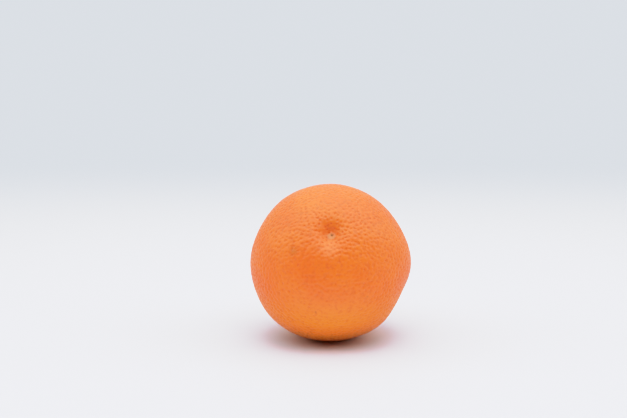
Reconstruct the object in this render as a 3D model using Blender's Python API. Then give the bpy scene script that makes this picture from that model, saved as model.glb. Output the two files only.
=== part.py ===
"""An orange, lying as a loose one settles: on its side, with the stem end turned up and forward.

Metres, +Z up. The fruit rests on Z = 0 and its box is centred over the origin.

The fruit grew as one piece, so it is one solid. Its skin starts as a ball of rings and segments
about the stem axis. Each point is moved along its own direction to skin_radius, which adds up a
slightly flattened ball, the broad swellings and flats of the cheeks, the dimple at the stem and
the small dent at the blossom end. The ball is then tilted into the pose in which it lies, and
its lowest cap is cut off to make the spot that it has settled on.
"""

import math

import bmesh
import bpy
from mathutils import Matrix, Vector

# The flattened ball
EQUATOR_RADIUS = 0.0375
POLE_RADIUS = 0.0354

# The cheeks: longitude and latitude of the middle, how far each spreads round the fruit and
# along it, all in degrees, and how far it stands out, or in if negative. Longitude runs round
# the stem axis from +X, and latitude rises to the stem end.
CHEEKS = (
    (359, 0, 12, 45, 0.00080),
    (38, 5, 28, 50, -0.00065),
    (128, 0, 20, 45, 0.00020),
    (154, 0, 12, 40, -0.00035),
    (180, -5, 15, 40, 0.00050),
    (226, 0, 28, 55, 0.00100),
    (306, -5, 13, 40, 0.00055),
    (334, 0, 15, 45, -0.00095),
)

# The stem end: a wide basin, a narrower funnel in it, the flat floor that the stalk left, and a
# shallow slope that leads into the funnel from the fruit's lower side
BASIN_DEPTH = 0.0018
BASIN_WIDTH = 0.0078
FUNNEL_DEPTH = 0.0036
FUNNEL_WIDTH = 0.0037
FLOOR_DEPTH = 0.0042
SLOPE_DEPTH = 0.0011
SLOPE_WIDTH = 0.0042
SLOPE_FROM_AXIS = 0.0068

# The blossom end
BLOSSOM_DENT_DEPTH = 0.0006
BLOSSOM_DENT_WIDTH = 0.0035

# How it lies
STEM_TILT = math.radians(53)
FOOT_RADIUS = 0.008

# The mesh: the rings crowd towards the stem, where the shape changes fastest
SEGMENTS = 64
RINGS = 56
RING_CROWDING = 1.35

PEEL_COLOUR = (0.82, 0.14, 0.003, 1.0)
PEEL_ROUGHNESS = 0.45


def clear_scene():
    for obj in list(bpy.data.objects):
        bpy.data.objects.remove(obj, do_unlink=True)


def named_collection(name):
    collection = bpy.data.collections.new(name)
    bpy.context.scene.collection.children.link(collection)
    return collection


def peel_material():
    material = bpy.data.materials.new("citrus_peel")
    material.use_nodes = True
    shader = material.node_tree.nodes["Principled BSDF"]
    shader.inputs["Base Color"].default_value = PEEL_COLOUR
    shader.inputs["Roughness"].default_value = PEEL_ROUGHNESS
    shader.inputs["Metallic"].default_value = 0.0
    return material


def bell(distance, width):
    return math.exp(-((distance / width) ** 2))


def ball_radius(sine):
    """The flattened ball's radius at the latitude with this sine."""
    across = (1 - sine * sine) / EQUATOR_RADIUS**2
    along = sine * sine / POLE_RADIUS**2
    return 1 / math.sqrt(across + along)


def cheek_height(longitude, latitude):
    height = 0.0
    for middle, level, round_spread, along_spread, size in CHEEKS:
        turn = (longitude - middle + 180) % 360 - 180
        height += size * bell(turn, round_spread) * bell(latitude - level, along_spread)
    # Every longitude meets at the poles, so the cheeks die away before them.
    return height * math.cos(math.radians(latitude))


def stem_depth(across, upwards):
    """How deep the stem end is at this distance across the axis and up from it."""
    from_axis = math.hypot(across, upwards)
    basin = BASIN_DEPTH * bell(from_axis, BASIN_WIDTH)
    funnel = FUNNEL_DEPTH * bell(from_axis, FUNNEL_WIDTH)
    slope = SLOPE_DEPTH * bell(math.hypot(across, upwards + SLOPE_FROM_AXIS), SLOPE_WIDTH)
    return min(basin + funnel + slope, FLOOR_DEPTH)


def skin_radius(direction):
    """How far the skin is from the middle of the fruit, the stem axis being +Z."""
    latitude = math.degrees(math.asin(max(-1.0, min(1.0, direction.z))))
    longitude = math.degrees(math.atan2(direction.y, direction.x))
    radius = ball_radius(direction.z) + cheek_height(longitude, latitude)
    if direction.z > 0:
        return radius - stem_depth(radius * direction.x, radius * direction.y)
    from_axis = radius * math.hypot(direction.x, direction.y)
    return radius - BLOSSOM_DENT_DEPTH * bell(from_axis, BLOSSOM_DENT_WIDTH)


def crowded(direction):
    """The same direction, moved towards the stem end so that the rings lie closer there."""
    from_stem = math.acos(max(-1.0, min(1.0, direction.z)))
    share = (from_stem / math.pi) ** RING_CROWDING
    moved = math.pi * share
    flat = Vector((direction.x, direction.y, 0.0))
    if flat.length > 0:
        flat.normalize()
    return flat * math.sin(moved) + Vector((0.0, 0.0, math.cos(moved)))


def grow_skin(mesh):
    bmesh.ops.create_uvsphere(mesh, u_segments=SEGMENTS, v_segments=RINGS, radius=1.0)
    for vertex in mesh.verts:
        direction = crowded(vertex.co.normalized())
        vertex.co = direction * skin_radius(direction)


def lie_down(mesh):
    """Tilts the stem end forward, towards -Y, and cuts the flat that the fruit rests on."""
    tilt = Matrix.Rotation(STEM_TILT, 3, "X")
    bmesh.ops.rotate(mesh, cent=(0, 0, 0), matrix=tilt, verts=mesh.verts)
    lowest = min(vertex.co.z for vertex in mesh.verts)
    cap = EQUATOR_RADIUS - math.sqrt(EQUATOR_RADIUS**2 - FOOT_RADIUS**2)
    cut = bmesh.ops.bisect_plane(
        mesh,
        geom=mesh.verts[:] + mesh.edges[:] + mesh.faces[:],
        plane_co=(0, 0, lowest + cap),
        plane_no=(0, 0, 1),
        clear_inner=True,
    )
    rim = [piece for piece in cut["geom_cut"] if isinstance(piece, bmesh.types.BMEdge)]
    bmesh.ops.contextual_create(mesh, geom=rim)


def stand_on_origin(mesh):
    lows = [min(vertex.co[axis] for vertex in mesh.verts) for axis in range(3)]
    highs = [max(vertex.co[axis] for vertex in mesh.verts) for axis in range(3)]
    middle_x = (lows[0] + highs[0]) / 2
    middle_y = (lows[1] + highs[1]) / 2
    bmesh.ops.translate(mesh, vec=(-middle_x, -middle_y, -lows[2]), verts=mesh.verts)


def make_orange(collection):
    mesh = bmesh.new()
    grow_skin(mesh)
    lie_down(mesh)
    stand_on_origin(mesh)
    bmesh.ops.recalc_face_normals(mesh, faces=mesh.faces)
    data = bpy.data.meshes.new("orange")
    mesh.to_mesh(data)
    mesh.free()
    data.shade_smooth()
    data.set_sharp_from_angle(angle=math.radians(40))
    data.materials.append(peel_material())
    orange = bpy.data.objects.new("orange", data)
    collection.objects.link(orange)
    return orange


clear_scene()
make_orange(named_collection("orange_parts"))
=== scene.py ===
import math

import bpy
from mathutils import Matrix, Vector


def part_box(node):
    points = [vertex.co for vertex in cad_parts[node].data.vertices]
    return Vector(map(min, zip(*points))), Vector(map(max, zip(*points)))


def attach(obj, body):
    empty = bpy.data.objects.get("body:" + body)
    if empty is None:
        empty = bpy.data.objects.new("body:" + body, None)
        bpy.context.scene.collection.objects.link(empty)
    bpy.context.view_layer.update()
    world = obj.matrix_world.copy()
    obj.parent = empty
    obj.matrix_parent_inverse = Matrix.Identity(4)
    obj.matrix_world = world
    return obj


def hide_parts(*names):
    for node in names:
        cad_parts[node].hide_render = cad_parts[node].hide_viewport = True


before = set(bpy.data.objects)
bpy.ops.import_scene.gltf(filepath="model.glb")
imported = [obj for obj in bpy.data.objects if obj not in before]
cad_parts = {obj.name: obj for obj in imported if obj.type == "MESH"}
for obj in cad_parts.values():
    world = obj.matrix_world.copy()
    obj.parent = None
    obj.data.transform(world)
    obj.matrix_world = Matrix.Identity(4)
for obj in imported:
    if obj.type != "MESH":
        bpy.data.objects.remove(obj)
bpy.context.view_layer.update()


# The peel is the whole outside of the fruit: a leathery rind, waxy and closed, that grew in one
# piece over the segments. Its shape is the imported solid's. It gets an even skin of small faces,
# closer set round the stem, so that every pit, crease and scar in it is a real dent.

BALL_SIZE = 0.06
BALL_HALVINGS = 7
STEM_CROWDING = 0.5
CROWDED_ANGLE = math.radians(26)
SAME_POINT = 1e-6


def only_this(piece):
    bpy.ops.object.select_all(action="DESELECT")
    piece.select_set(True)
    bpy.context.view_layer.objects.active = piece


def apply_modifier(piece, kind, name, **settings):
    only_this(piece)
    modifier = piece.modifiers.new(name, kind)
    for setting, value in settings.items():
        setattr(modifier, setting, value)
    bpy.ops.object.modifier_apply(modifier=modifier.name)


fruit_low, fruit_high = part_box("orange")
fruit_middle = (fruit_low + fruit_high) / 2

only_this(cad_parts["orange"])
bpy.ops.object.duplicate()
guide = bpy.context.object
guide.name = "guide"
bpy.ops.object.mode_set(mode="EDIT")
bpy.ops.mesh.select_all(action="SELECT")
bpy.ops.mesh.remove_doubles(threshold=SAME_POINT)
bpy.ops.object.mode_set(mode="OBJECT")

# The rings of the solid meet at its two ends, so those are the points with the most edges.
edges_at = [0] * len(guide.data.vertices)
for edge in guide.data.edges:
    for end in edge.vertices:
        edges_at[end] += 1
ends = sorted(guide.data.vertices, key=lambda point: edges_at[point.index])[-2:]
blossom_end, stem_end = sorted((point.co.copy() for point in ends), key=lambda place: place.z)
stem_axis = (stem_end - blossom_end).normalized()
stem_turn = stem_axis.to_track_quat("Z", "Y").to_euler()

only_this(guide)
bpy.ops.object.mode_set(mode="EDIT")
bpy.ops.mesh.select_all(action="SELECT")
bpy.ops.mesh.tris_convert_to_quads(face_threshold=math.radians(50), shape_threshold=math.radians(70))
bpy.ops.object.mode_set(mode="OBJECT")
apply_modifier(guide, "SUBSURF", "rounding", levels=2, render_levels=2)

# A cube swollen into a ball has no poles, so its faces stay nearly square all over.
bpy.ops.object.select_all(action="DESELECT")
bpy.ops.mesh.primitive_cube_add(size=BALL_SIZE, location=fruit_middle, rotation=stem_turn)
peel = bpy.context.object
peel.name = "peel"
bpy.ops.object.transform_apply(location=True, rotation=True, scale=True)
bpy.ops.object.mode_set(mode="EDIT")
bpy.ops.mesh.select_all(action="SELECT")
for _ in range(BALL_HALVINGS):
    bpy.ops.mesh.subdivide(number_cuts=1)
    bpy.ops.transform.tosphere(value=1.0)
bpy.ops.object.mode_set(mode="OBJECT")

for point in peel.data.vertices:
    arm = point.co - fruit_middle
    from_stem = arm.angle(stem_axis)
    share = 1 - STEM_CROWDING * math.exp(-((from_stem / CROWDED_ANGLE) ** 2))
    across = (arm - stem_axis * arm.dot(stem_axis)).normalized()
    moved = from_stem * share
    point.co = fruit_middle + (stem_axis * math.cos(moved) + across * math.sin(moved)) * arm.length

apply_modifier(
    peel, "SHRINKWRAP", "fit", target=guide, wrap_method="PROJECT",
    use_negative_direction=True, use_positive_direction=True,
)
bpy.data.objects.remove(guide, do_unlink=True)

# Oil glands lie under the skin a little under 2 mm apart, and each leaves a small pit over it. They
# differ in size, and the skin between them is gently pillowed. More are scattered than fit, at
# GLAND_DENSITY to the square metre, and those nearer than GLAND_SPACING are dropped. The pits
# deepen towards the stem and are fainter at the back, each between two places in millimetres.
MM = 1000.0
GLAND_SPACING = 0.00155
GLAND_DENSITY = 1.6e6
GLAND_SEED = 4
SMALLEST_GLAND = 0.65
LARGEST_GLAND = 1.2
PIT_RADIUS = 0.00070
PIT_DEPTH = 0.00026
PILLOW_RADIUS = 0.00115
PILLOW_DEPTH = 0.00019
DEEPENS_ALONG = (-8.0, 33.0)
DEEPEST_PITS = 1.15
FADES_BACK = (7.0, 20.0)
FAINTEST_PITS = 0.7

# Round the stem the skin is drawn together in creases, with broader folds among them, that run in
# to the scar. Below the scar it is pulled taut and is smoother, and the material paints it paler:
# painted light, where that wall faces up to the lamps. The noise for the creases and folds is
# read round a tube, so that creases keep their width, and stretched along their run. A pair of
# distances, in millimetres, says where something begins to show and where it is full. A spread
# is the part of a noise's values that is used, and pattern scales are per millimetre.
TUBE_RADIUS = 11.0
RUN_STRETCH = 3.6
CREASE_SCALE = 0.85
CREASE_DEPTH = 0.00028
FOLD_SCALE = 0.15
FOLD_DEPTH = 0.00085
FOLDS_SHOW = (9.0, 4.0)
GATHERS_SHOW = (16.0, 6.0)
GATHERS_CLEAR_SCAR = (2.0, 4.5)
TAUT_AND_PAINTED_LIGHT_MIDDLE = (-0.8, -6.5, 0.0)
SLACK_SHOWS = (2.5, 6.5)
CREASES_LEFT_TAUT = 0.15
PAINTED_LIGHT_SHOWS = (7.0, 0.5)
SWELL_SCALE = 0.09
SWELL_SPREAD = (0.3, 0.7)
HIGHEST_SWELL = 0.00004
LOWEST_SWELL = -0.00012

# The scar is a low corky button with a hole where the stalk's core was. The nub at the other end
# is where the flower's style dropped off. These places, radii and soft edges are in millimetres
# across the stem axis, with +X to the right and +Y upwards.
SCAR_MIDDLE = (0.75, -0.75, 0.0)
SCAR_RADIUS = 1.7
SCAR_EDGE = 0.45
SCAR_HEIGHT = 0.00030
HOLE_MIDDLE = (1.1, -0.3, 0.0)
HOLE_RADIUS = 0.42
HOLE_EDGE = 0.25
HOLE_DEPTH = 0.0004
NUB_MIDDLE = (0.0, 0.0, 0.0)
NUB_RADIUS = 1.3
NUB_EDGE = 0.4
NUB_HEIGHT = 0.00035
RAGGED_SCALE = 0.8
RAGGED_BY = 1.2
FUNNEL_MIDDLE = (0.5, 1.8, 0.0)
FUNNEL_RADIUS = 8.0
FUNNEL_FLOOR = 1.5

# The fruit's weight presses its foot flat, so the relief fades out between these heights.
FOOT_TOP = 0.0004
FOOT_FADE_TOP = 0.003


def add_node(tree, kind, links=None, **settings):
    """Adds a node with its settings, and sets each named input or links it to a socket."""
    made = tree.nodes.new(kind)
    for name, value in settings.items():
        setattr(made, name, value)
    for socket, value in (links or {}).items():
        if isinstance(value, bpy.types.NodeSocket):
            tree.links.new(value, made.inputs[socket])
        else:
            made.inputs[socket].default_value = value
    return made


relief = bpy.data.node_groups.new("rind_relief", "GeometryNodeTree")
relief.interface.new_socket("Geometry", in_out="INPUT", socket_type="NodeSocketGeometry")
relief.interface.new_socket("Geometry", in_out="OUTPUT", socket_type="NodeSocketGeometry")
smooth_skin = add_node(relief, "NodeGroupInput").outputs[0]
finished = add_node(relief, "NodeGroupOutput")
place = add_node(relief, "GeometryNodeInputPosition").outputs[0]
outwards = add_node(relief, "GeometryNodeInputNormal").outputs[0]

# Millimetres from the middle of the fruit, turned so that +Z is the stem end and +Y is upwards
offset = add_node(
    relief, "ShaderNodeVectorMath", {0: place, 1: tuple(fruit_middle)}, operation="SUBTRACT",
).outputs[0]
upright = add_node(
    relief, "ShaderNodeVectorRotate", {"Vector": offset, "Rotation": tuple(stem_turn)},
    rotation_type="EULER_XYZ", invert=True,
).outputs[0]
upright = add_node(relief, "ShaderNodeVectorMath", {0: upright, "Scale": MM}, operation="SCALE").outputs[0]
across = add_node(
    relief, "ShaderNodeVectorMath", {0: upright, 1: (1.0, 1.0, 0.0)}, operation="MULTIPLY",
).outputs[0]
from_axis = add_node(relief, "ShaderNodeVectorMath", {0: across}, operation="LENGTH").outputs["Value"]
upright_parts = add_node(relief, "ShaderNodeSeparateXYZ", {0: upright}).outputs
upper_half = add_node(
    relief, "ShaderNodeMath", {0: upright_parts["Z"], 1: 0.0}, operation="GREATER_THAN",
).outputs[0]
lower_half = add_node(
    relief, "ShaderNodeMath", {0: upright_parts["Z"], 1: 0.0}, operation="LESS_THAN",
).outputs[0]

# The pits: how far the nearest gland is, against a radius of its own
glands = add_node(
    relief, "GeometryNodeDistributePointsOnFaces",
    {"Mesh": smooth_skin, "Distance Min": GLAND_SPACING, "Density Max": GLAND_DENSITY, "Seed": GLAND_SEED},
    distribute_method="POISSON",
).outputs["Points"]
to_gland = add_node(
    relief, "GeometryNodeProximity", {0: glands}, target_element="POINTS",
).outputs["Distance"]
gland = add_node(relief, "GeometryNodeSampleNearest", {0: glands}, domain="POINT").outputs[0]
gland_size = add_node(
    relief, "FunctionNodeRandomValue", {2: SMALLEST_GLAND, 3: LARGEST_GLAND, "ID": gland},
    data_type="FLOAT",
).outputs[1]
reach = add_node(relief, "ShaderNodeMath", {0: gland_size, 1: PIT_RADIUS}, operation="MULTIPLY").outputs[0]
pit = add_node(
    relief, "ShaderNodeMapRange", {"Value": to_gland, "From Min": reach, "From Max": 0.0},
    interpolation_type="SMOOTHSTEP",
).outputs[0]
pillow = add_node(
    relief, "ShaderNodeMapRange", {"Value": to_gland, "From Min": PILLOW_RADIUS, "From Max": 0.0},
    interpolation_type="SMOOTHSTEP",
).outputs[0]
pit_drop = add_node(relief, "ShaderNodeMath", {0: pit, 1: PIT_DEPTH}, operation="MULTIPLY").outputs[0]
pit_drop = add_node(
    relief, "ShaderNodeMath", {0: pillow, 1: PILLOW_DEPTH, 2: pit_drop}, operation="MULTIPLY_ADD",
).outputs[0]

towards_stem = add_node(
    relief, "ShaderNodeMapRange",
    {
        "Value": upright_parts["Z"], "From Min": DEEPENS_ALONG[0], "From Max": DEEPENS_ALONG[1],
        "To Min": 1.0, "To Max": DEEPEST_PITS,
    },
).outputs[0]
towards_back = add_node(
    relief, "ShaderNodeMapRange",
    {
        "Value": upright_parts["Y"], "From Min": FADES_BACK[0], "From Max": FADES_BACK[1],
        "To Min": 1.0, "To Max": FAINTEST_PITS,
    },
    interpolation_type="SMOOTHSTEP",
).outputs[0]
pit_share = add_node(
    relief, "ShaderNodeMath", {0: towards_stem, 1: towards_back}, operation="MULTIPLY",
).outputs[0]
pit_drop = add_node(relief, "ShaderNodeMath", {0: pit_drop, 1: pit_share}, operation="MULTIPLY").outputs[0]

# The creases and folds
heading = add_node(relief, "ShaderNodeVectorMath", {0: across}, operation="NORMALIZE").outputs[0]
ring_place = add_node(
    relief, "ShaderNodeVectorMath", {0: heading, "Scale": TUBE_RADIUS}, operation="SCALE",
).outputs[0]
run = add_node(relief, "ShaderNodeMath", {0: from_axis, 1: RUN_STRETCH}, operation="DIVIDE").outputs[0]
run = add_node(relief, "ShaderNodeCombineXYZ", {2: run}).outputs[0]
fan = add_node(relief, "ShaderNodeVectorMath", {0: ring_place, 1: run}, operation="ADD").outputs[0]

creases = add_node(
    relief, "ShaderNodeTexNoise", {"Vector": fan, "Scale": CREASE_SCALE, "Detail": 2.0},
).outputs[0]
creases = add_node(relief, "ShaderNodeMath", {0: creases, 1: 0.5}, operation="SUBTRACT").outputs[0]
creases = add_node(
    relief, "ShaderNodeMath", {0: creases, 1: CREASE_DEPTH}, operation="MULTIPLY",
).outputs[0]
from_taut_and_painted_light = add_node(
    relief, "ShaderNodeVectorMath", {0: across, 1: TAUT_AND_PAINTED_LIGHT_MIDDLE}, operation="DISTANCE",
).outputs["Value"]
slack = add_node(
    relief, "ShaderNodeMapRange",
    {
        "Value": from_taut_and_painted_light, "From Min": SLACK_SHOWS[0], "From Max": SLACK_SHOWS[1],
        "To Min": CREASES_LEFT_TAUT,
    },
    interpolation_type="SMOOTHSTEP",
).outputs[0]
creases = add_node(relief, "ShaderNodeMath", {0: creases, 1: slack}, operation="MULTIPLY").outputs[0]

folds = add_node(
    relief, "ShaderNodeTexNoise", {"Vector": fan, "Scale": FOLD_SCALE, "Detail": 1.0},
).outputs[0]
folds = add_node(relief, "ShaderNodeMath", {0: folds, 1: 0.5}, operation="SUBTRACT").outputs[0]
fold_depth = add_node(
    relief, "ShaderNodeMapRange",
    {"Value": from_axis, "From Min": FOLDS_SHOW[0], "From Max": FOLDS_SHOW[1], "To Max": FOLD_DEPTH},
    interpolation_type="SMOOTHSTEP",
).outputs[0]
gathers = add_node(
    relief, "ShaderNodeMath", {0: folds, 1: fold_depth, 2: creases}, operation="MULTIPLY_ADD",
).outputs[0]

past_scar = add_node(
    relief, "ShaderNodeMapRange",
    {"Value": from_axis, "From Min": GATHERS_CLEAR_SCAR[0], "From Max": GATHERS_CLEAR_SCAR[1]},
    interpolation_type="SMOOTHSTEP",
).outputs[0]
near_stem = add_node(
    relief, "ShaderNodeMapRange",
    {"Value": from_axis, "From Min": GATHERS_SHOW[0], "From Max": GATHERS_SHOW[1]},
    interpolation_type="SMOOTHSTEP",
).outputs[0]
gathered = add_node(relief, "ShaderNodeMath", {0: past_scar, 1: near_stem}, operation="MULTIPLY").outputs[0]
gathered = add_node(relief, "ShaderNodeMath", {0: gathered, 1: upper_half}, operation="MULTIPLY").outputs[0]
gathers = add_node(relief, "ShaderNodeMath", {0: gathers, 1: gathered}, operation="MULTIPLY").outputs[0]

# Slow swells over the whole skin
swells = add_node(
    relief, "ShaderNodeTexNoise", {"Vector": upright, "Scale": SWELL_SCALE, "Detail": 2.0},
).outputs[0]
swells = add_node(
    relief, "ShaderNodeMapRange",
    {
        "Value": swells, "From Min": SWELL_SPREAD[0], "From Max": SWELL_SPREAD[1],
        "To Min": LOWEST_SWELL, "To Max": HIGHEST_SWELL,
    },
).outputs[0]

# The scar, its hole and the nub share one ragged edge.
ragged = add_node(
    relief, "ShaderNodeTexNoise", {"Vector": upright, "Scale": RAGGED_SCALE, "Detail": 2.0},
).outputs["Color"]
ragged = add_node(
    relief, "ShaderNodeVectorMath", {0: ragged, 1: (RAGGED_BY, RAGGED_BY, 0.0), 2: upright},
    operation="MULTIPLY_ADD",
).outputs[0]
ragged = add_node(
    relief, "ShaderNodeVectorMath", {0: ragged, 1: (1.0, 1.0, 0.0)}, operation="MULTIPLY",
).outputs[0]
spots = []
for middle, radius, edge, half in (
    (SCAR_MIDDLE, SCAR_RADIUS, SCAR_EDGE, upper_half),
    (HOLE_MIDDLE, HOLE_RADIUS, HOLE_EDGE, upper_half),
    (NUB_MIDDLE, NUB_RADIUS, NUB_EDGE, lower_half),
):
    away = add_node(
        relief, "ShaderNodeVectorMath", {0: ragged, 1: middle}, operation="DISTANCE",
    ).outputs["Value"]
    spot = add_node(
        relief, "ShaderNodeMapRange",
        {"Value": away, "From Min": radius + edge, "From Max": radius - edge},
        interpolation_type="SMOOTHSTEP",
    ).outputs[0]
    spots.append(add_node(relief, "ShaderNodeMath", {0: spot, 1: half}, operation="MULTIPLY").outputs[0])
scar, hole, nub = spots
corks = add_node(relief, "ShaderNodeMath", {0: scar, 1: SCAR_HEIGHT}, operation="MULTIPLY").outputs[0]
corks = add_node(
    relief, "ShaderNodeMath", {0: hole, 1: -HOLE_DEPTH, 2: corks}, operation="MULTIPLY_ADD",
).outputs[0]
corks = add_node(
    relief, "ShaderNodeMath", {0: nub, 1: NUB_HEIGHT, 2: corks}, operation="MULTIPLY_ADD",
).outputs[0]

# Two masks that only the material uses: the funnel round the scar, for its painted shade, and the
# taut skin below it, for its painted light
from_funnel = add_node(
    relief, "ShaderNodeVectorMath", {0: across, 1: FUNNEL_MIDDLE}, operation="DISTANCE",
).outputs["Value"]
funnel = add_node(
    relief, "ShaderNodeMapRange",
    {"Value": from_funnel, "From Min": FUNNEL_RADIUS, "From Max": FUNNEL_FLOOR},
    interpolation_type="SMOOTHSTEP",
).outputs[0]
funnel = add_node(relief, "ShaderNodeMath", {0: funnel, 1: upper_half}, operation="MULTIPLY").outputs[0]
painted_light_below_scar = add_node(
    relief, "ShaderNodeMapRange",
    {"Value": from_taut_and_painted_light, "From Min": PAINTED_LIGHT_SHOWS[0], "From Max": PAINTED_LIGHT_SHOWS[1]},
    interpolation_type="SMOOTHSTEP",
).outputs[0]
painted_light_below_scar = add_node(relief, "ShaderNodeMath", {0: painted_light_below_scar, 1: upper_half}, operation="MULTIPLY").outputs[0]

rise = add_node(relief, "ShaderNodeMath", {0: gathers, 1: swells}, operation="ADD").outputs[0]
rise = add_node(relief, "ShaderNodeMath", {0: rise, 1: corks}, operation="ADD").outputs[0]
rise = add_node(relief, "ShaderNodeMath", {0: rise, 1: pit_drop}, operation="SUBTRACT").outputs[0]
above_foot = add_node(relief, "ShaderNodeSeparateXYZ", {0: place}).outputs["Z"]
off_foot = add_node(
    relief, "ShaderNodeMapRange", {"Value": above_foot, "From Min": FOOT_TOP, "From Max": FOOT_FADE_TOP},
    interpolation_type="SMOOTHSTEP",
).outputs[0]
rise = add_node(relief, "ShaderNodeMath", {0: rise, 1: off_foot}, operation="MULTIPLY").outputs[0]
shift = add_node(relief, "ShaderNodeVectorMath", {0: outwards, "Scale": rise}, operation="SCALE").outputs[0]
dented = add_node(
    relief, "GeometryNodeSetPosition", {"Geometry": smooth_skin, "Offset": shift},
).outputs[0]
masks = {"pit": pit, "funnel": funnel, "scar": scar, "hole": hole, "nub": nub, "painted_light_below_scar": painted_light_below_scar}
for name, amount in masks.items():
    dented = add_node(
        relief, "GeometryNodeStoreNamedAttribute", {"Geometry": dented, "Name": name, "Value": amount},
        data_type="FLOAT", domain="POINT",
    ).outputs[0]
relief.links.new(dented, finished.inputs[0])
apply_modifier(peel, "NODES", "relief", node_group=relief)
only_this(peel)
bpy.ops.object.shade_smooth()

# Waxed citrus rind: an orange skin, strongly coloured right through, under a thin coat of its own
# wax. To the eye it is saturated and semi-matt, with a broad soft gloss and a slightly paler rim.
# The pores between the pits and the grain of the wax are too fine to show at their real size. The
# pores are drawn about 1.6 mm apart and the grain about 0.7 mm, in bumps about a tenth of a
# millimetre deep.
RIND_ROUGHNESS = 0.45
RIND_IOR = 1.42
RIM_SHEEN = 0.14
RIM_ROUGHNESS = 0.3
SKIN_COLOURS = ("EC640A", "EF6C0A")
# Towards the foot the skin is painted lighter and yellower, as painted light from the card below.
PAINTED_BOUNCE_SKIN = "F07F0E"
PAINTED_BOUNCE_TOP = 0.032
PAINTED_BOUNCE_FULL = 0.010
# Pits and pores are darkened partly for the glands' deeper orange and partly as painted shade
PIT_COLOUR_AND_SHADE = "CE5E08"
# A pale colour painted below the scar: painted light where the wall there faces up
PAINTED_LIGHT_BELOW_SCAR = "FC7E38"
# A darker colour painted in the funnel round the scar: painted shade of its walls
FUNNEL_SHADE_COLOUR = "CC660A"
SCAR_COLOUR = "C67C42"
HOLE_COLOUR = "A86C34"
NUB_COLOUR = "7C4812"
PATCH_SCALE = 0.06
PATCH_SPREAD = (0.35, 0.65)
PORE_SCALE = 0.62
PORE_SPREAD = (0.485, 0.335)
PORE_DEPTH = 0.00009
PORES_IN_FUNNEL = 0.1
PORES_ON_LOWER_SKIN = 0.6
PIT_COLOUR_AND_SHADE_SHARE = 0.7
PORE_COLOUR_AND_SHADE_SHARE = 0.6
PAINTED_LIGHT_BELOW_SCAR_SHARE = 0.45
FUNNEL_SHADE_SHARE = 0.6
GRAIN_SCALE = 1.4
GRAIN_DEPTH = 0.00011

# A smudge of scurf beside the stem and small specks of it elsewhere: where each is, in millimetres
# from the middle of the fruit, its radius, how much it covers, and its colour
MARKS = (
    ((-16.6, -29.4, 11.6), 3.3, 0.7, "A0600C"),
    ((-6.7, -32.9, -15.8), 1.0, 0.8, "A05A08"),
    ((16.4, -31.9, -8.6), 1.0, 0.8, "A05A08"),
    ((30.5, 10.0, 18.0), 1.6, 0.6, "9E5A18"),
    ((-28.0, 20.0, -12.0), 1.3, 0.6, "9E5A18"),
    ((12.0, 31.0, 14.0), 2.4, 0.6, "A86A20"),
    ((-8.0, 24.0, 27.0), 0.9, 0.7, "8E4A12"),
)
MARK_EDGE_SCALE = 0.7
MARK_EDGE = 1.6


def linear(colour):
    """The linear value of an sRGB hex colour such as E8760A."""
    parts = [int(colour[start:start + 2], 16) / 255 for start in (0, 2, 4)]
    return tuple(p / 12.92 if p <= 0.04045 else ((p + 0.055) / 1.055) ** 2.4 for p in parts) + (1.0,)


rind = bpy.data.materials.new("waxed_citrus_rind")
rind.use_nodes = True
tree = rind.node_tree
shader = tree.nodes["Principled BSDF"]
shader.inputs["Roughness"].default_value = RIND_ROUGHNESS
shader.inputs["IOR"].default_value = RIND_IOR
shader.inputs["Sheen Weight"].default_value = RIM_SHEEN
shader.inputs["Sheen Roughness"].default_value = RIM_ROUGHNESS
place = add_node(tree, "ShaderNodeTexCoord").outputs["Object"]
offset = add_node(
    tree, "ShaderNodeVectorMath", {0: place, 1: tuple(fruit_middle)}, operation="SUBTRACT",
).outputs[0]
offset = add_node(tree, "ShaderNodeVectorMath", {0: offset, "Scale": MM}, operation="SCALE").outputs[0]
mask = {name: add_node(tree, "ShaderNodeAttribute", attribute_name=name).outputs["Fac"] for name in masks}

# Broad patches of two oranges, painted lighter and yellower towards the foot: painted light, standing in
# for light thrown up by the card
patches = add_node(
    tree, "ShaderNodeTexNoise", {"Vector": offset, "Scale": PATCH_SCALE, "Detail": 3.0},
).outputs[0]
patches = add_node(
    tree, "ShaderNodeMapRange",
    {"Value": patches, "From Min": PATCH_SPREAD[0], "From Max": PATCH_SPREAD[1]},
).outputs[0]
skin = add_node(
    tree, "ShaderNodeMix", {0: patches, 6: linear(SKIN_COLOURS[0]), 7: linear(SKIN_COLOURS[1])},
    data_type="RGBA",
).outputs[2]
level = add_node(tree, "ShaderNodeSeparateXYZ", {0: place}).outputs["Z"]
painted_bounce_zone = add_node(
    tree, "ShaderNodeMapRange", {"Value": level, "From Min": PAINTED_BOUNCE_TOP, "From Max": PAINTED_BOUNCE_FULL},
    interpolation_type="SMOOTHSTEP",
).outputs[0]
skin = add_node(
    tree, "ShaderNodeMix", {0: painted_bounce_zone, 6: skin, 7: linear(PAINTED_BOUNCE_SKIN)}, data_type="RGBA",
).outputs[2]

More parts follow.
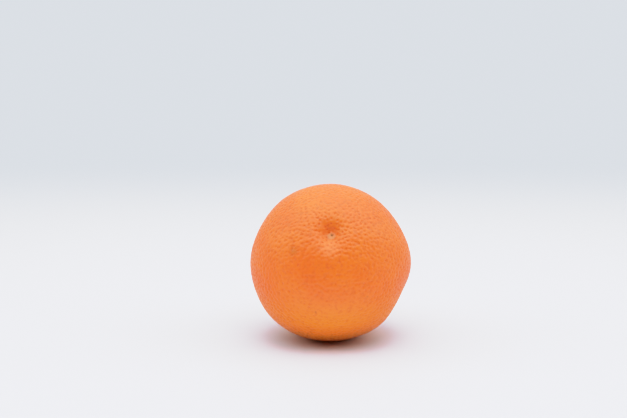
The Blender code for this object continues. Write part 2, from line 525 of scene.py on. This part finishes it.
# Pits and pores are darker, partly for the deeper orange of the glands and partly as painted shade in
# their dents. The pores fade in the funnel, and are fainter towards the foot.
pores = add_node(
    tree, "ShaderNodeTexNoise", {"Vector": offset, "Scale": PORE_SCALE, "Detail": 1.0},
).outputs[0]
pores = add_node(
    tree, "ShaderNodeMapRange", {"Value": pores, "From Min": PORE_SPREAD[0], "From Max": PORE_SPREAD[1]},
    interpolation_type="SMOOTHSTEP",
).outputs[0]
for calm, left in ((mask["funnel"], PORES_IN_FUNNEL), (painted_bounce_zone, PORES_ON_LOWER_SKIN)):
    kept = add_node(tree, "ShaderNodeMapRange", {"Value": calm, "To Min": 1.0, "To Max": left}).outputs[0]
    pores = add_node(tree, "ShaderNodeMath", {0: pores, 1: kept}, operation="MULTIPLY").outputs[0]
pit_colour_and_shade = add_node(tree, "ShaderNodeMath", {0: mask["pit"], 1: PIT_COLOUR_AND_SHADE_SHARE}, operation="MULTIPLY").outputs[0]
pore_colour_and_shade = add_node(tree, "ShaderNodeMath", {0: pores, 1: PORE_COLOUR_AND_SHADE_SHARE}, operation="MULTIPLY").outputs[0]
pit_colour_and_shade = add_node(tree, "ShaderNodeMath", {0: pit_colour_and_shade, 1: pore_colour_and_shade}, operation="MAXIMUM").outputs[0]
skin = add_node(
    tree, "ShaderNodeMix", {0: pit_colour_and_shade, 6: skin, 7: linear(PIT_COLOUR_AND_SHADE)}, data_type="RGBA",
).outputs[2]

# The marks have ragged edges, for which each place is first moved a little by noise.
warped = add_node(
    tree, "ShaderNodeTexNoise", {"Vector": offset, "Scale": MARK_EDGE_SCALE, "Detail": 3.0},
).outputs["Color"]
warped = add_node(
    tree, "ShaderNodeVectorMath", {0: warped, 1: (MARK_EDGE,) * 3, 2: offset}, operation="MULTIPLY_ADD",
).outputs[0]
warped = add_node(
    tree, "ShaderNodeVectorMath", {0: warped, 1: (MARK_EDGE / 2,) * 3}, operation="SUBTRACT",
).outputs[0]
for mark_place, mark_radius, mark_share, mark_colour in MARKS:
    away = add_node(
        tree, "ShaderNodeVectorMath", {0: warped, 1: mark_place}, operation="DISTANCE",
    ).outputs["Value"]
    mark = add_node(
        tree, "ShaderNodeMapRange",
        {"Value": away, "From Min": mark_radius, "From Max": 0.0, "To Min": 0.0, "To Max": mark_share},
        interpolation_type="SMOOTHSTEP",
    ).outputs[0]
    skin = add_node(
        tree, "ShaderNodeMix", {0: mark, 6: skin, 7: linear(mark_colour)}, data_type="RGBA",
    ).outputs[2]

# Over those come the painted light below the scar, the painted shade in the funnel, and the bare
# colours of the stem end and the nub.
for name, most, colour in (
    ("painted_light_below_scar", PAINTED_LIGHT_BELOW_SCAR_SHARE, PAINTED_LIGHT_BELOW_SCAR),
    ("funnel", FUNNEL_SHADE_SHARE, FUNNEL_SHADE_COLOUR),
    ("scar", 1.0, SCAR_COLOUR),
    ("hole", 1.0, HOLE_COLOUR),
    ("nub", 1.0, NUB_COLOUR),
):
    cover = add_node(tree, "ShaderNodeMath", {0: mask[name], 1: most}, operation="MULTIPLY").outputs[0]
    skin = add_node(
        tree, "ShaderNodeMix", {0: cover, 6: skin, 7: linear(colour)}, data_type="RGBA",
    ).outputs[2]
tree.links.new(skin, shader.inputs["Base Color"])

# The grain and the pores in bump, in metres
grain = add_node(
    tree, "ShaderNodeTexNoise", {"Vector": offset, "Scale": GRAIN_SCALE, "Detail": 3.0},
).outputs[0]
grain = add_node(tree, "ShaderNodeMath", {0: grain, 1: GRAIN_DEPTH}, operation="MULTIPLY").outputs[0]
grain = add_node(
    tree, "ShaderNodeMath", {0: pores, 1: -PORE_DEPTH, 2: grain}, operation="MULTIPLY_ADD",
).outputs[0]
bump = add_node(tree, "ShaderNodeBump", {"Height": grain, "Distance": 1.0}).outputs[0]
tree.links.new(bump, shader.inputs["Normal"])

peel.data.materials.clear()
peel.data.materials.append(rind)
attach(peel, "root")
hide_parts("orange")


# The table is one sheet of matt white card with nothing else on it. Near the fruit a painted
# reflection of the rind's warm light is laid into its colour, and far off it melts into the backdrop,
# so that no edge of it ever shows.

TABLE_SIZE = 8.0
CARD_COLOUR = "C1C3CD"
CARD_ROUGHNESS = 0.7
PAINTED_RIND_REFLECTION = "E6C8AE"
PAINTED_REFLECTION_RADIUS = 0.031
PAINTED_REFLECTION_FULL = 0.008
BACKDROP_COLOUR = "C8CED8"
CARD_END = 0.16
BACKDROP_START = 0.55

bpy.ops.object.select_all(action="DESELECT")
bpy.ops.mesh.primitive_plane_add(size=TABLE_SIZE, location=(0, 0, 0))
table = bpy.context.object
table.name = "table"
card = bpy.data.materials.new("white_card")
card.use_nodes = True
tree = card.node_tree
shader = tree.nodes["Principled BSDF"]
shader.inputs["Roughness"].default_value = CARD_ROUGHNESS

place = add_node(tree, "ShaderNodeTexCoord").outputs["Object"]
from_fruit = add_node(tree, "ShaderNodeVectorMath", {0: place}, operation="LENGTH").outputs["Value"]
# A painted reflection: the rind's warm light on the card, painted into its colour near the fruit
painted_reflection = add_node(
    tree, "ShaderNodeMapRange", {"Value": from_fruit, "From Min": PAINTED_REFLECTION_RADIUS, "From Max": PAINTED_REFLECTION_FULL},
    interpolation_type="SMOOTHSTEP",
).outputs[0]
card_colour = add_node(
    tree, "ShaderNodeMix", {0: painted_reflection, 6: linear(CARD_COLOUR), 7: linear(PAINTED_RIND_REFLECTION)}, data_type="RGBA",
).outputs[2]
tree.links.new(card_colour, shader.inputs["Base Color"])

# The distance that makes a square with round corners, so that the far edge looks level from each side
fourths = []
for axis in ("X", "Y"):
    along = add_node(tree, "ShaderNodeSeparateXYZ", {0: place}).outputs[axis]
    along = add_node(tree, "ShaderNodeMath", {0: along}, operation="ABSOLUTE").outputs[0]
    fourths.append(add_node(tree, "ShaderNodeMath", {0: along, 1: 4.0}, operation="POWER").outputs[0])
away = add_node(tree, "ShaderNodeMath", {0: fourths[0], 1: fourths[1]}, operation="ADD").outputs[0]
away = add_node(tree, "ShaderNodeMath", {0: away, 1: 0.25}, operation="POWER").outputs[0]
far = add_node(
    tree, "ShaderNodeMapRange", {"Value": away, "From Min": CARD_END, "From Max": BACKDROP_START},
    interpolation_type="SMOOTHSTEP",
).outputs[0]
glow = add_node(tree, "ShaderNodeEmission", {"Color": linear(BACKDROP_COLOUR), "Strength": 1.0}).outputs[0]
blend = add_node(tree, "ShaderNodeMixShader", {0: far, 1: shader.outputs[0], 2: glow}).outputs[0]
tree.links.new(blend, tree.nodes["Material Output"].inputs["Surface"])
table.data.materials.append(card)


# The studio round the table looks like a plain pale backdrop from every side. Only its back half
# lights the fruit, as a white wall behind it would. The room in front is dark and sends no light.

BACK_WALL_COLOUR = "F8FCFF"
BACK_WALL_STRENGTH = 0.763
WALL_BLENDS = (-0.3, 0.3)

studio = bpy.data.worlds.new("studio")
bpy.context.scene.world = studio
studio.use_nodes = True
tree = studio.node_tree
backdrop = tree.nodes["Background"]
backdrop.inputs["Color"].default_value = linear(BACKDROP_COLOUR)
backdrop.inputs["Strength"].default_value = 1.0
heading = add_node(tree, "ShaderNodeTexCoord").outputs["Generated"]
backwards = add_node(tree, "ShaderNodeSeparateXYZ", {0: heading}).outputs["Y"]
wall_strength = add_node(
    tree, "ShaderNodeMapRange",
    {
        "Value": backwards, "From Min": WALL_BLENDS[0], "From Max": WALL_BLENDS[1],
        "To Max": BACK_WALL_STRENGTH,
    },
    interpolation_type="SMOOTHSTEP",
).outputs[0]
wall = add_node(
    tree, "ShaderNodeBackground", {"Color": linear(BACK_WALL_COLOUR), "Strength": wall_strength},
).outputs[0]
seen = add_node(tree, "ShaderNodeLightPath").outputs["Is Camera Ray"]
surroundings = add_node(tree, "ShaderNodeMixShader", {0: seen, 1: wall, 2: backdrop.outputs[0]}).outputs[0]
tree.links.new(surroundings, tree.nodes["World Output"].inputs["Surface"])


# The lamps are five large soft boxes: one overhead, one in front, one behind and one on each side.
# Three low panels at table height stand in for light thrown up by the card.

BOUNCE_COLOUR = "FFFDDA"
BOUNCE_HEIGHT = 0.003


def soft_light(name, place, size, power, aim):
    lamp = bpy.data.lights.new(name, "AREA")
    lamp.shape = "RECTANGLE"
    lamp.size, lamp.size_y = size
    lamp.energy = power
    holder = bpy.data.objects.new(name, lamp)
    bpy.context.scene.collection.objects.link(holder)
    holder.location = place
    holder.rotation_euler = (Vector(aim) - Vector(place)).to_track_quat("-Z", "Y").to_euler()
    holder.visible_camera = False
    return holder


soft_light("overhead", place=(0, 0, 0.95), size=(1.2, 1.2), power=8.4, aim=fruit_middle)
soft_light("front", place=(0, -0.5, 0.95), size=(1.0, 0.7), power=4.1, aim=fruit_middle)
soft_light("back", place=(0, 0.9, 0.9), size=(1.0, 1.0), power=0.8, aim=fruit_middle)
soft_light("left", place=(-1.0, -0.1, 0.8), size=(0.9, 0.9), power=6.1, aim=fruit_middle)
soft_light("right", place=(1.0, -0.1, 0.8), size=(0.9, 0.9), power=6.7, aim=fruit_middle)
for name, x, y, size, power in (
    ("bounce", 0, -0.12, (0.26, 0.16), 0.125),
    ("bounce_left", -0.24, -0.02, (0.24, 0.4), 0.13),
    ("bounce_right", 0.24, -0.02, (0.24, 0.4), 0.12),
):
    panel = soft_light(name, place=(x, y, BOUNCE_HEIGHT), size=size, power=power, aim=(x, y, 1))
    panel.data.color = linear(BOUNCE_COLOUR)[:3]


# The camera has a fairly long lens and stands a little above the fruit. It looks past it, so
# that the fruit sits low and right of the middle. Its roll-off lifts levels a little up to the
# knee, and past that each step counts for less, so that white card and bright skin keep detail.

CAMERA_RISE = math.radians(13.5)
CAMERA_DISTANCE = 0.5768
LENS_LENGTH = 70
SENSOR_WIDTH = 36
AIM_LEFT = 0.0081
AIM_UP = 0.0251
WHITE = 2.5
KNEE = 0.67
LIFT = 1.16
SHOULDER = 0.31

lens = bpy.data.cameras.new("camera")
lens.lens = LENS_LENGTH
lens.sensor_width = SENSOR_WIDTH
camera = bpy.data.objects.new("camera", lens)
bpy.context.scene.collection.objects.link(camera)
outwards = Vector((0, -math.cos(CAMERA_RISE), math.sin(CAMERA_RISE)))
camera.location = fruit_middle + CAMERA_DISTANCE * outwards
aim = fruit_middle + Vector((-AIM_LEFT, 0, AIM_UP))
camera.rotation_euler = (aim - camera.location).to_track_quat("-Z", "Y").to_euler()

scene = bpy.context.scene
scene.camera = camera
scene.view_settings.view_transform = "Standard"
scene.view_settings.use_curve_mapping = True
curves = scene.view_settings.curve_mapping
curves.white_level = (WHITE, WHITE, WHITE)
tone = curves.curves[3]
for level in (0.2, 0.4, KNEE, 1.0, 1.5):
    rolled = min(level, KNEE) * LIFT + max(level - KNEE, 0) * SHOULDER
    tone.points.new(level / WHITE, rolled)
curves.update()
